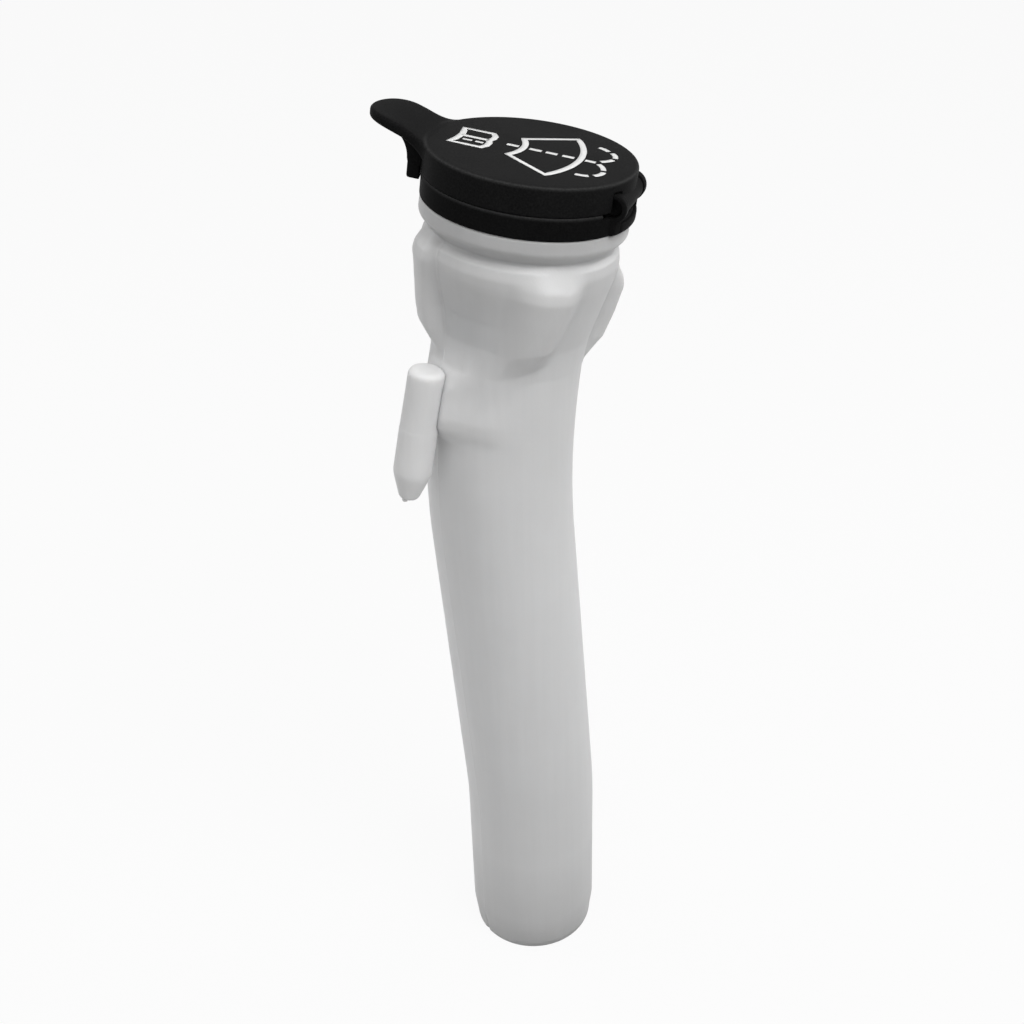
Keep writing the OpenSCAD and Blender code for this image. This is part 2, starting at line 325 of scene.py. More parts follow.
def along_hinge(skin):
    """A turned skin laid along the hinge axis, its height becoming the distance from the middle."""
    verts, faces = skin
    return [(HINGE_AT + x, z, HINGE_Z - y) for x, y, z in verts], faces


def hinge_cylinder(radius, start, end, turns=64):
    """A plain cylinder on the hinge axis."""
    return along_hinge(lathe([(0, start), (radius, start), (radius, end), (0, end)], turns))


def mirrored(skin):
    """The same skin on the other side of the cap's middle plane."""
    verts, faces = skin
    return [(x, -y, z) for x, y, z in verts], [face[::-1] for face in faces]


def mesh_of(name, skins, place=None):
    """One mesh from closed skins in millimetres, with normals outward, in metres in its place."""
    bm = bmesh.new()
    for verts, faces in skins:
        made = [bm.verts.new(point) for point in verts]
        new_faces = [bm.faces.new([made[i] for i in face]) for face in faces]
        bmesh.ops.remove_doubles(bm, verts=made, dist=1e-4)
        new_faces = [face for face in new_faces if face.is_valid]
        edges = [e for e in {e for f in new_faces for e in f.edges} if e.is_boundary]
        if edges:
            new_faces += bmesh.ops.holes_fill(bm, edges=edges, sides=0)["faces"]
        bmesh.ops.recalc_face_normals(bm, faces=new_faces)
    for face in bm.faces:
        face.smooth = True
    bm.transform(Matrix.Scale(MM, 4))
    if place is not None:
        bm.transform(place)
    mesh = bpy.data.meshes.new(name)
    bm.to_mesh(mesh)
    bm.free()
    return mesh


def piece(name, mesh, material, body, slot, *nodes):
    """Puts a finished mesh on a body in the place of the named nodes."""
    obj = bpy.data.objects.new(name, mesh)
    bpy.context.scene.collection.objects.link(obj)
    mesh.materials.clear()
    mesh.materials.append(material)
    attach(obj, body)
    if nodes:
        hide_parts(*nodes)
    return obj


def cut(mesh, *skins):
    """The mesh with closed skins cut out of it."""
    scene = bpy.context.scene.collection
    work = bpy.data.objects.new("work", mesh)
    scene.objects.link(work)
    made = [work]
    for skin in skins:
        cutter = bpy.data.objects.new("cutter", mesh_of("cutter", [skin]))
        scene.objects.link(cutter)
        made.append(cutter)
        step = work.modifiers.new("cut", "BOOLEAN")
        step.operation = "DIFFERENCE"
        step.solver = "EXACT"
        step.object = cutter
    ready = work.evaluated_get(bpy.context.evaluated_depsgraph_get())
    result = bpy.data.meshes.new_from_object(ready)
    for obj in made:
        bpy.data.objects.remove(obj)
    return result


def joined(name, meshes):
    """One mesh from several in the same place."""
    bm = bmesh.new()
    for mesh in meshes:
        bm.from_mesh(mesh)
    result = bpy.data.meshes.new(name)
    bm.to_mesh(result)
    bm.free()
    return result


# the neck's path

MID = np.array((-LOW_BEND_R * (1 - math.cos(LOW_BEND)),
                SPIGOT_LEN / 2 + LOW_BEND_R * math.sin(LOW_BEND)))
BEND = MID + MID_LEN * np.array((-math.sin(LOW_BEND), math.cos(LOW_BEND)))
HEAD = BEND + TOP_BEND_R * np.array((math.cos(LOW_BEND) - math.cos(HEAD_LEAN),
                                     math.sin(LOW_BEND) + math.sin(HEAD_LEAN)))
MOUTH = HEAD + HEAD_LEN * np.array((math.sin(HEAD_LEAN), math.cos(HEAD_LEAN)))
BEND_END = HEAD_LEN + TOP_BEND_R * TOP_BEND
MID_END = BEND_END + MID_LEN
LOW_END = MID_END + LOW_BEND_R * LOW_BEND
LEAD_START = LOW_END + SPIGOT_LEN
NECK_END = LEAD_START + LEAD_LEN
AT_MOUTH = (Matrix.Translation(Vector((MOUTH[0], 0, MOUTH[1])) * MM)
            @ Matrix.Rotation(HEAD_LEAN, 4, "Y"))
AT_CAP = AT_MOUTH @ Matrix.Rotation(CAP_TURN, 4, "Z")


def centreline(depth):
    """Centre (x, z) and lean of the neck at a depth below the mouth along its path."""
    if depth <= HEAD_LEN:
        down = depth * np.array((math.sin(HEAD_LEAN), math.cos(HEAD_LEAN)))
        return MOUTH - down, HEAD_LEAN
    if depth <= BEND_END:
        lean = HEAD_LEAN - (depth - HEAD_LEN) / TOP_BEND_R
        turn = np.array((math.cos(LOW_BEND) - math.cos(lean), math.sin(LOW_BEND) + math.sin(lean)))
        return BEND + TOP_BEND_R * turn, lean
    if depth <= MID_END:
        up = (MID_END - depth) * np.array((-math.sin(LOW_BEND), math.cos(LOW_BEND)))
        return MID + up, -LOW_BEND
    if depth <= LOW_END:
        lean = (depth - MID_END) / LOW_BEND_R - LOW_BEND
        turn = np.array((math.cos(lean) - 1, -math.sin(lean)))
        return np.array((0, SPIGOT_LEN / 2)) + LOW_BEND_R * turn, lean
    return np.array((0, SPIGOT_LEN / 2 - (depth - LOW_END))), 0.0


def peg_distance(depth):
    """Distance of the peg's axis from the centre of the ring at a depth."""
    centre, lean = centreline(depth)
    off = centre - MOUTH
    across = off[0] * math.cos(HEAD_LEAN) - off[1] * math.sin(HEAD_LEAN)
    down = -(off[0] * math.sin(HEAD_LEAN) + off[1] * math.cos(HEAD_LEAN))
    peg = -PEG_AT - math.tan(PEG_TILT) * (down - WEB_MID)
    return (across - peg) / math.cos(HEAD_LEAN - lean)


# the blown skin: lines of (depth, radius, rounding) down its outside, its inside, a lug and the peg

OUTER = [
    (-MOUTH_H, MOUTH_R - WALL, 0.5), (-MOUTH_H, MOUTH_R, 0.6), (-3.5, MOUTH_R - 0.1, 0),
    (-1.95, SNAP_R, 0.15), (-1.9, MOUTH_R, 0.1), (0, MOUTH_R, 0.2), (0, BEAD_R - 0.2, 0.9),
    (BEAD_H - 0.8, BEAD_R, 2.2), (7.7, GROOVE_R, 0.8), (8.7, GROOVE_R, 0.9),
    (10.4, SHOULDER_R - 0.5, 1.6), (13.2, SHOULDER_R, 5), (18, SHOULDER_R - 0.6, 10),
    (WAIST_AT + 2, WAIST_R - 0.2, 12), (37, TUBE_R + 1.0, 10), (46, TUBE_R, 10),
    (LEAD_START, TUBE_R, 1.5), (NECK_END, TUBE_R - LEAD_DROP, 0.7),
]
INNER = [
    (NECK_END, TUBE_R - WALL - LEAD_DROP, 0.5), (LEAD_START, TUBE_R - WALL, 2),
    (44, TUBE_R - WALL, 6), (35.5, TUBE_R - 0.6, 6), (WAIST_AT, WAIST_R - WALL, 2),
    (12, SHOULDER_R - WALL, 3), (9, GROOVE_R - WALL, 1), (5, BEAD_R - WALL - 0.4, 1.2),
    (WALL, BEAD_R - WALL - 0.4, 1), (WALL, MOUTH_R - WALL, 0.4),
]
LUG_LINE = spaced(rounded([
    (5, GROOVE_R - 2, 0), (9.4, GROOVE_R, 1), (15.9, 31.4, 3), (LUG_PEAK_AT + 0.4, 32.0, 5),
    (27, 30.5, 8), (38, 28.1, 3), (46, TUBE_R + 0.3, 2.5), (54, TUBE_R - 0.2, 3),
    (62, TUBE_R - 6, 0)]), LUG_STEP)
PEG = [
    (PEG_TOP - 0.2, 0, 0), (PEG_TOP + 0.2, PEG_HEAD_R, 2.3), (WEB_END, PEG_R - 0.1, 2),
    (WEB_END + 1, PEG_R, 2), (PEG_TAPER_AT, PEG_R, 9), (PEG_TIP_AT - 0.5, PEG_TIP_R, 2.4),
    (PEG_TIP_AT, 0, 0),
]


def neck_turns():
    """Angles round the neck, closer together at the two parting lines."""
    seam = np.radians((-1.6, -1.1, -0.7, -0.35, 0, 0.35, 0.7, 1.1, 1.6))
    side = np.radians(np.linspace(2.4, 177.6, 118))
    return np.concatenate((seam, side, seam + math.pi, side + math.pi))


def angle_off(turns, middle):
    """How far each angle lies from a middle, within half a turn either way."""
    return np.angle(np.exp(1j * (turns - middle)))


def with_lugs(depth, turns, radius, inset):
    """The ring's radius with the four soft lugs raised on it."""
    for quarter, (soft_left, soft_right, wider_left, wider_right) in enumerate(LUG_SIDES):
        turn = LUG_TURN + quarter * math.pi / 2
        drop = LUG_DROP * math.cos(turn)
        if drop > 0:
            drop *= np.interp(depth, LUG_DROP_OVER, (0, 1))
        lower = depth - drop
        half = np.interp(lower, (LUG_PEAK_AT, HEAD_LEN), (LUG_HALF, LUG_FOOT_HALF)) - inset
        middle = (lower - LUG_PEAK_AT) * math.sin(LUG_LEAN * math.sin(turn))
        off = turns - turn
        aside = LUG_R * np.sin(off) - middle
        slant = -LUG_SLANT * math.sin(turn) * smooth(*LUG_SLANT_OVER, lower)
        lift = LUG_LIFTS[quarter] * smooth(*LUG_LIFT_OVER, lower)
        reach = np.interp(lower + lift + slant * aside, LUG_LINE[:, 0], LUG_LINE[:, 1]) - inset
        reach = reach - LUG_TRIMS[quarter] * (1 - smooth(*LUG_TRIM_OVER, lower))
        soft = np.where(aside > 0, soft_right, soft_left)
        over = np.abs(aside) - half - np.where(aside > 0, wider_right, wider_left)
        mask = (1 - smooth(-soft, soft, over)) * (np.cos(off) > 0)
        radius = radius + mask * np.maximum(0, reach - radius)
    return radius


def with_waist(depth, turns, radius):
    """The dip between shoulder and pipe, with its crease, over the bend's outer side."""
    around = np.exp(-(angle_off(turns, WAIST_SIDE) / WAIST_SPREAD) ** 2)
    share = WAIST_LEAST + (1 - WAIST_LEAST) * around
    fall = (depth - WAIST_START) / (WAIST_AT - WAIST_START)
    rise = (WAIST_END - depth) / (WAIST_END - WAIST_AT)
    dip = max(0, (fall + rise - math.hypot(fall - rise, CREASE_EASE)) / 2)
    return radius - share * WAIST_DIP * dip


def with_web(depth, turns, radius):
    """The ring's radius with the web that runs out to the peg."""
    if not WEB_RISE_OVER[0] < depth < WEB_END + WEB_FOOT_EASE[1]:
        return radius
    distance = peg_distance(depth)
    limit = WEB_CREST + (distance - WEB_CREST) * smooth(*WEB_CREST_OVER, depth)
    half = math.acos((TUBE_R - WEB_R) / distance)
    off = np.abs(angle_off(turns, math.pi))
    past_foot = depth - WEB_END + WEB_FOOT * smooth(*WEB_FOOT_OVER, off)
    share = smooth(*WEB_RISE_OVER, depth) * (1 - smooth(*WEB_FOOT_EASE, past_foot))
    side = TUBE_R / np.cos(np.clip(half - off, 0, WEB_STEEPEST))
    side = np.where(off < half, np.minimum(side, limit), radius)
    proud = WEB_PROUD * smooth(*WEB_PROUD_OVER, depth)
    side = side + proud * (1 - smooth(half, half + WEB_SIDE_EASE, off))
    return radius + share * np.maximum(0, side - radius)


def with_parting(depth, turns, radius):
    """The fine raised seam of the mould, pinched in at the spigot's end."""
    for middle in (0, math.pi):
        aside = radius * angle_off(turns, middle)
        raised = PARTING_HEIGHT * np.exp(-(aside / PARTING_W) ** 2)
        dent = PINCH_DEPTH * np.exp(-(aside / PINCH_W) ** 2)
        pinch = smooth(*PINCH_OVER, depth - LEAD_START) * (middle > 0)
        radius = radius + (1 - pinch) * raised - pinch * dent
    return radius


def neck_ring(depth, radius, turns, outer):
    """One ring of the skin in its place on the path; the waist, web and seams are outside only."""
    ring = np.full(len(turns), radius)
    if depth > BEAD_H:
        if outer:
            ring = with_waist(depth, turns, ring)
        ring = with_lugs(depth, turns, ring, 0 if outer else WALL)
        if outer:
            ring = with_parting(depth, turns, with_web(depth, turns, ring))
    centre, lean = centreline(depth)
    across = ring * np.cos(turns)
    return np.stack((centre[0] + across * math.cos(lean), ring * np.sin(turns),
                     centre[1] - across * math.sin(lean)), axis=1)


def stepped(limit, above, below):
    """The longest step at a point of a line down the neck."""
    return lambda point: above if point[0] < limit else below


def neck_skin():
    """The outside of the neck from mouth to spigot, and back up along its inside."""
    turns = neck_turns()
    outer = spaced(rounded(OUTER), stepped(*OUTER_STEPS))
    inner = spaced(rounded(INNER), stepped(*INNER_STEPS))
    rings = [neck_ring(d, r, turns, True) for d, r in outer]
    rings += [neck_ring(d, r, turns, False) for d, r in inner]
    return shell_of(rings, close_rings=True)


def peg_skins():
    """The hanging peg and the nub left at its tip, as skins in millimetres at the mouth's frame."""
    line = spaced(rounded(PEG, steps=8), PEG_STEP)
    body = lathe([(max(r, 0), WEB_MID - d) for d, r in line], PEG_TURNS)
    end = rounded([(0, NUB_LOW, 0), (NUB_R, NUB_LOW, 0.4), (NUB_ROOT_R, NUB_TOP, 0)])
    verts, faces = lathe(end, NUB_TURNS)
    nub = [(x - NUB_OFF, y, z) for x, y, z in verts], faces
    cos, sin = math.cos(PEG_TILT), math.sin(PEG_TILT)
    skins = []
    for verts, faces in (body, nub):
        leaned = [(x * cos + z * sin - PEG_AT, y, z * cos - x * sin - WEB_MID) for x, y, z in verts]
        skins.append((leaned, faces))
    return skins


# collar and lid, in the cap's frame

def loft(sections):
    """Skin over closed sections with flat ends."""
    verts, faces = shell_of(sections)
    count = len(sections[0])
    last = len(verts) - count
    return verts, faces + [list(range(count)), list(range(last, len(verts)))]


def box_skin(low, high):
    """A plain box between two corners."""
    (x0, y0, z0), (x1, y1, z1) = low, high
    verts = [(x, y, z) for z in (z0, z1) for x, y in ((x0, y0), (x1, y0), (x1, y1), (x0, y1))]
    sides = [[0, 1, 5, 4], [1, 2, 6, 5], [2, 3, 7, 6], [3, 0, 4, 7]]
    return verts, [[3, 2, 1, 0], [4, 5, 6, 7]] + sides


def eased_stations(start, end, ease):
    """Places along a block and how far its section draws in there."""
    parts = [(0, ease), (0.3 * ease, 0.3 * ease), (ease, 0)]
    middle = [(start + (end - start) * k / 10, 0) for k in range(1, 10)]
    first = [(start + a, b) for a, b in parts]
    last = [(end - a, b) for a, b in parts[::-1]]
    return first + [m for m in middle if start + ease < m[0] < end - ease] + last


def block_skin(x0, x1, z0, z1, y0, y1, ease):
    """A block with eased edges."""
    sections = []
    for y, inset in eased_stations(y0, y1, ease):
        line = rounded([(x0 + inset, z0 + inset, ease), (x1 - inset, z0 + inset, ease),
                        (x1 - inset, z1 - inset, ease), (x0 + inset, z1 - inset, ease)],
                       closed=True, steps=3)
        sections.append([(x, y, z) for x, z in line])
    return loft(sections)


def base_skin(y0, y1, height):
    """Part of the curved base under the hinge."""
    sections = []
    for y, inset in eased_stations(y0, y1, BASE_EASE):
        face = math.sqrt(BASE_R ** 2 - y * y) - inset
        back = math.sqrt(BASE_IN ** 2 - y * y)
        low, top = BASE_LOW + inset, height - inset
        line = rounded([(back, low, 0), (face, low, 0.9), (face, top, 0.6), (back, top, 0)],
                       closed=True, steps=4)
        sections.append([(x, y, z) for x, z in line])
    return loft(sections)


def collar_mesh():
    """The ring on the mouth with its floor, and the hinge's ears, feet and base."""
    ring = rounded([(CAP_R, 0, 0.5), (CAP_R, COLLAR_H, 0.6), (CAP_IN, COLLAR_H, 0.3),
                    (CAP_IN, FLOOR_T, 0.5), (FLOOR_IN, FLOOR_T, 0.2), (FLOOR_IN, 0, 0.2)],
                   closed=True, steps=4)
    ring = spaced(ring, CAP_STEP, closed=True)
    sweep = hinge_cylinder(BARREL_R + HINGE_GAP, -EAR_IN, EAR_IN)
    notch = box_skin((HINGE_AT, -EAR_IN, NOTCH_LOW), (NOTCH_OUT, EAR_IN, NOTCH_TOP))
    bore = hinge_cylinder(BORE_R, -EAR_OUT - BORE_PAST, EAR_OUT + BORE_PAST, BORE_TURNS)
    wall = cut(mesh_of("collar", [lathe(ring, CAP_TURNS, closed=True)]), sweep, notch, bore)
    ear_line = rounded([(BORE_R, EAR_IN, 0.2), (EAR_R, EAR_IN, 0.4), (EAR_R, EAR_OUT, 0.6),
                        (BORE_R, EAR_OUT, 0.4)], closed=True, steps=4)
    ear_line = spaced(ear_line, EAR_STEP, closed=True)
    ear = along_hinge(lathe(ear_line, EAR_TURNS, closed=True))
    foot = base_skin(EAR_IN + EAR_FOOT_INSET, EAR_OUT - EAR_FOOT_INSET, EAR_FOOT_H)
    feet = cut(mesh_of("feet", [foot, mirrored(foot)]), bore)
    base = mesh_of("base", [base_skin(-EAR_IN - BASE_PAST, EAR_IN + BASE_PAST, BASE_H)])
    ears = mesh_of("ears", [ear, mirrored(ear)])
    whole = joined("cap_collar", [wall, feet, base, ears])
    whole.transform(AT_CAP)
    return whole


def tab_height(x, radius):
    """Height of the tab's sweep at a radius."""
    return TAB_CENTRE[1] + math.sqrt(max(0, radius ** 2 - (x - TAB_CENTRE[0]) ** 2))


def tab_top(x):
    """Upper face of the tab, flowing out of the lid's top."""
    flat, rise = LID_TOP - TAB_SINK, tab_height(x, TAB_SWEEP_R)
    part = max(TAB_BLEND - abs(flat - rise), 0) / TAB_BLEND
    return max(flat, rise) + part * part * TAB_BLEND / 4


def tab_low(x, y):
    """Lower face of the tab, hidden in the lid's plate inside the skirt."""
    low = tab_height(x, TAB_SWEEP_R - TAB_T)
    inside = 1 - smooth(*TAB_HIDE_OVER, math.hypot(x, y))
    return low + inside * max(0, PLATE_LOW + TAB_HIDE - low)


def latch_skin():
    """The block in front of the collar, with the hollow curve that runs up under the tab."""
    sections = []
    for y, inset in eased_stations(-LATCH_HALF, LATCH_HALF, LATCH_EASE):
        front, low = LATCH_X + inset, LATCH_LOW + inset
        clear = -math.sqrt((CAP_R + LATCH_GAP) ** 2 - y * y) - inset
        root = -math.sqrt((CAP_R - LATCH_ROOT) ** 2 - y * y)
        line = list(rounded([(front, LATCH_FRONT_TOP, 0), (front, low, 0.8), (clear, low, 0.5),
                             (clear, SKIRT_LOW, 0.2), (root, SKIRT_LOW + 0.1, 0)], steps=3))
        line += [(x, tab_height(x, TAB_SWEEP_R - TAB_T / 2))
                 for x in np.linspace(root, HOLLOW_START, 9)]
        round_r = HOLLOW_R + inset
        line += [(HOLLOW_CENTRE[0] + round_r * math.cos(a),
                  HOLLOW_CENTRE[1] + round_r * math.sin(a)) for a in np.linspace(*HOLLOW_ARC, 15)]
        sections.append([(x, y, z) for x, z in line])
    return loft(sections)


def tab_skin():
    """Thumb tab with a round tip and an eased rim."""
    tip = TAB_HALF - TAB_REACH
    flare_y = TAB_HALF + TAB_FLARE_R
    flare_x = -math.sqrt((TAB_MEET_R + TAB_FLARE_R) ** 2 - flare_y ** 2)
    meet = math.atan2(-flare_y, -flare_x)
    side = [TAB_ROOT]
    side += [(flare_x + TAB_FLARE_R * math.cos(a), flare_y + TAB_FLARE_R * math.sin(a))
             for a in np.linspace(meet, -math.pi / 2, 14)]
    arc = [(tip - TAB_HALF * math.sin(a), TAB_HALF * math.cos(a))
           for a in np.linspace(0, math.pi, 41)[1:-1]]
    path = np.array(side + arc + [(x, -y) for x, y in side[::-1]])
    ahead = np.gradient(path, axis=0)
    inward = np.stack((-ahead[:, 1], ahead[:, 0]), axis=1)
    inward /= np.linalg.norm(inward, axis=1)[:, None]
    inward *= np.sign(np.sum(inward * (np.array(TAB_MIDDLE) - path), axis=1))[:, None]
    rings = []
    for turn in np.linspace(0, math.pi / 2, 7):
        drawn = path + inward * TAB_EASE * (1 - math.cos(turn))
        rings.append((drawn, TAB_EASE * (1 - math.sin(turn))))
    inner = rings[-1][0]
    for share in (0.85, 0.66, 0.44, 0.22, 0.0):
        rings.append((inner * (1, share), 0.0))
    top = [[(x, y, tab_top(x) - drop) for x, y in line] for line, drop in rings]
    low = [[(x, y, tab_low(x, y) + drop) for x, y in line] for line, drop in rings]
    return shell_of(low[::-1] + top, close_turn=False)


def lid_mesh():
    """The lid with its skirt, plug, hinge barrel, pivots, latch block and thumb tab."""
    line = rounded([(0, LID_TOP, 0), (CAP_R, LID_TOP, 1.1), (CAP_R, SKIRT_LOW, 0.35),
                    (CAP_IN, SKIRT_LOW, 0.3), (CAP_IN, PLATE_LOW, 0.5), (PLUG_R, PLATE_LOW, 0.4),
                    (PLUG_R, PLUG_LOW, 0.6), (PLUG_R - PLUG_T, PLUG_LOW, 0.6),
                    (PLUG_R - PLUG_T, PLATE_LOW, 0.4), (0, PLATE_LOW, 0)], steps=6)
    half = EAR_IN - HINGE_GAP
    room = hinge_cylinder(EAR_R + HINGE_GAP, half, EAR_OUT + HINGE_GAP)
    shell = mesh_of("lid", [lathe(spaced(line, CAP_STEP), CAP_TURNS)])
    shell = cut(shell, room, mirrored(room))
    barrel_line = rounded([(0, -half, 0), (BARREL_R, -half, 0.4), (BARREL_R, half, 0.4),
                           (0, half, 0)])
    barrel = along_hinge(lathe(spaced(barrel_line, CAP_STEP), EAR_TURNS))
    rib = block_skin(RIB_IN, RIB_OUT, HINGE_Z, RIB_TOP, -half, half, RIB_EASE)
    start, end = half - PIVOT_ROOT, EAR_IN + PIVOT_IN
    pivot_line = rounded([(0, start, 0), (PIVOT_R, start, 0), (PIVOT_R, end, 0.5), (0, end, 0)])
    pivot = along_hinge(lathe(pivot_line, BORE_TURNS))
    rest = mesh_of("lid_rest", [barrel, rib, pivot, mirrored(pivot), latch_skin(), tab_skin()])
    whole = joined("lid", [shell, rest])
    whole.transform(AT_CAP)
    return whole


# signs, as lines on the lid's top: first toward the hinge, then toward the viewer

def arc_through(first, middle, last, count=24):
    """Points on the circle through three points."""
    points = np.array((first, middle, last), float)
    squares = np.sum(points ** 2, axis=1)
    x0, y0 = np.linalg.solve(2 * (points[1:] - points[0]), squares[1:] - squares[0])
    radius = math.hypot(first[0] - x0, first[1] - y0)
    start, halfway, end = (math.atan2(y - y0, x - x0) for x, y in points)
    sweep = (end - start) % (2 * math.pi)
    if (halfway - start) % (2 * math.pi) > sweep:
        sweep -= 2 * math.pi
    return [(x0 + radius * math.cos(a), y0 + radius * math.sin(a))
            for a in np.linspace(start, start + sweep, count + 1)]


FAN = (arc_through((-4.9, -8.3), (-2.7, -0.5), (-4.9, 7.7))
       + arc_through((8.8, 17.8), (13.8, -0.4), (8.6, -18.0)))
BOOK = [(-22.3, -7.2), (-13.5, -7.2), (-12.3, -5.0), (-12.2, -2.6), (-12.8, -0.6), (-12.1, 1.6),
        (-12.1, 4.2), (-13.1, 6.6), (-22.3, 6.6), (-21.5, 3.8), (-21.2, 1.0), (-21.2, -2.0),
        (-21.6, -4.8)]
OPEN_LINES = [
    [(-21.2, -0.7), (-12.8, -0.7)],
    [(-7.6, -0.8), (-4.2, -0.8)], [(-1.0, -0.8), (2.5, -0.8)], [(3.8, -0.8), (7.1, -0.8)],
    [(8.6, -0.8), (12.0, -0.8)], [(15.2, -0.8), (18.2, -0.8)],
    [(15.8, -14.5), (17.4, -13.8), (19.0, -12.6)], [(20.3, -11.6), (21.6, -9.8), (22.1, -7.6)],
    [(21.9, -6.0), (20.8, -4.0), (19.3, -2.4)],
    [(19.3, 0.2), (20.9, 2.2), (21.8, 4.6)], [(22.2, 6.2), (21.9, 8.4), (20.6, 10.5)],
    [(19.3, 11.5), (17.6, 12.1), (15.7, 12.2)],
]
PAGE_LINES = [[(-19.6, 2.5), (-16.9, 2.5)], [(-15.9, 2.5), (-13.6, 2.5)]]


def stroke_tree():
    """Node tree that lays a flat stroke of even width along every line of a mesh of edges."""
    tree = bpy.data.node_groups.new("sign_strokes", "GeometryNodeTree")
    for name, kind in (("Lines", "Geometry"), ("Width", "Float"), ("Thickness", "Float"),
                       ("Finish", "Material")):
        tree.interface.new_socket(name, in_out="INPUT", socket_type="NodeSocket" + kind)
    tree.interface.new_socket("Strokes", in_out="OUTPUT", socket_type="NodeSocketGeometry")
    nodes, links = tree.nodes, tree.links
    given, result = nodes.new("NodeGroupInput"), nodes.new("NodeGroupOutput")
    curve = nodes.new("GeometryNodeMeshToCurve")
    normal = nodes.new("GeometryNodeSetCurveNormal")
    normal.mode = "Z_UP"
    section = nodes.new("GeometryNodeCurvePrimitiveQuadrilateral")
    sweep = nodes.new("GeometryNodeCurveToMesh")
    sweep.inputs["Fill Caps"].default_value = True
    single = nodes.new("GeometryNodeRealizeInstances")
    paint = nodes.new("GeometryNodeSetMaterial")
    links.new(given.outputs["Lines"], curve.inputs["Mesh"])
    links.new(curve.outputs["Curve"], normal.inputs["Curve"])
    links.new(given.outputs["Width"], section.inputs["Width"])
    links.new(given.outputs["Thickness"], section.inputs["Height"])
    links.new(normal.outputs["Curve"], sweep.inputs["Curve"])
    links.new(section.outputs["Curve"], sweep.inputs["Profile Curve"])
    links.new(sweep.outputs["Mesh"], single.inputs["Geometry"])
    links.new(single.outputs["Geometry"], paint.inputs["Geometry"])
    links.new(given.outputs["Finish"], paint.inputs["Material"])
    links.new(paint.outputs["Geometry"], result.inputs["Strokes"])
    return tree


def strokes_mesh(name, tree, lines, width, material):
    """Flat strokes on the lid's top along lines, each given as its points and if it is closed."""
    verts, edges = [], []
    for line, closed in lines:
        first = len(verts)
        verts += [(r * MM, -t * MM, LID_TOP * MM) for r, t in line]
        edges += [(i, i + 1) for i in range(first, len(verts) - 1)]
        if closed:
            edges.append((len(verts) - 1, first))
    base = bpy.data.meshes.new(name)
    base.from_pydata(verts, edges, [])
    obj = bpy.data.objects.new(name, base)
    bpy.context.scene.collection.objects.link(obj)
    step = obj.modifiers.new("strokes", "NODES")
    step.node_group = tree
    sizes = {"Width": width * MM, "Thickness": STROKE_T * MM, "Finish": material}
    for socket in tree.interface.items_tree:
        if socket.name in sizes and socket.in_out == "INPUT":
            step[socket.identifier] = sizes[socket.name]
    ready = obj.evaluated_get(bpy.context.evaluated_depsgraph_get())
    mesh = bpy.data.meshes.new_from_object(ready)
    bpy.data.objects.remove(obj)
    bm = bmesh.new()
    bm.from_mesh(mesh)
    bmesh.ops.remove_doubles(bm, verts=bm.verts, dist=1e-7)
    bmesh.ops.recalc_face_normals(bm, faces=bm.faces)
    bm.transform(AT_CAP)
    bm.to_mesh(mesh)
    bm.free()
    return mesh


# materials

def grey(level):
    """An even grey."""
    return level, level, level


def new_material(name):
    """A material with its tree, its shader and the piece's own coordinates."""
    material = bpy.data.materials.new(name)
    material.use_nodes = True
    tree = material.node_tree
    shader = next(n for n in tree.nodes if n.type == "BSDF_PRINCIPLED")
    coords = tree.nodes.new("ShaderNodeTexCoord").outputs["Object"]
    return material, tree, shader, coords


def noise(tree, coords, scale, detail=2.0, rough=0.5):
    """A cloudy pattern over the coordinates."""
    made = tree.nodes.new("ShaderNodeTexNoise")
    made.inputs["Scale"].default_value = scale
    made.inputs["Detail"].default_value = detail
    made.inputs["Roughness"].default_value = rough
    tree.links.new(coords, made.inputs["Vector"])
    return made.outputs["Fac"]


def stretched(tree, coords, scale):
    """The coordinates scaled apart along each axis."""
    made = tree.nodes.new("ShaderNodeMapping")
    made.inputs["Scale"].default_value = scale
    tree.links.new(coords, made.inputs["Vector"])
    return made.outputs["Vector"]


def tones(tree, value, stops):
    """A value turned into colours by stops of (place, colour)."""
    made = tree.nodes.new("ShaderNodeValToRGB")
    ramp = made.color_ramp
    while len(ramp.elements) < len(stops):
        ramp.elements.new(0.5)
    for element, (place, colour) in zip(ramp.elements, stops):
        element.position = place
        element.color = (*colour, 1)
    tree.links.new(value, made.inputs["Fac"])
    return made.outputs["Color"]


def spread(tree, value, low, high):
    """A noise's usual range spread between two values."""
    made = tree.nodes.new("ShaderNodeMapRange")
    made.inputs["From Min"].default_value = NOISE_LOW
    made.inputs["From Max"].default_value = NOISE_HIGH
    made.inputs["To Min"].default_value = low
    made.inputs["To Max"].default_value = high
    tree.links.new(value, made.inputs["Value"])
    return made.outputs["Result"]


def mixed(tree, first, second, share, how="MIX"):
    """Two colours mixed by a number, or by what a socket gives."""
    made = tree.nodes.new("ShaderNodeMix")
    made.data_type = "RGBA"
    made.blend_type = how
    factor = next(s for s in made.inputs if s.identifier == "Factor_Float")
    colours = [s for s in made.inputs if s.type == "RGBA"]
    if isinstance(share, bpy.types.NodeSocket):
        tree.links.new(share, factor)
    else:
        factor.default_value = share
    tree.links.new(first, colours[0])
    tree.links.new(second, colours[1])
    return next(s for s in made.outputs if s.type == "RGBA")


def bump(tree, height, depth, strength=1.0, below=None):
    """Surface relief of a depth in metres, laid over the relief below it."""
    made = tree.nodes.new("ShaderNodeBump")
    made.inputs["Strength"].default_value = strength
    made.inputs["Distance"].default_value = depth
    tree.links.new(height, made.inputs["Height"])
    if below is not None:
        tree.links.new(below, made.inputs["Normal"])
    return made.outputs["Normal"]


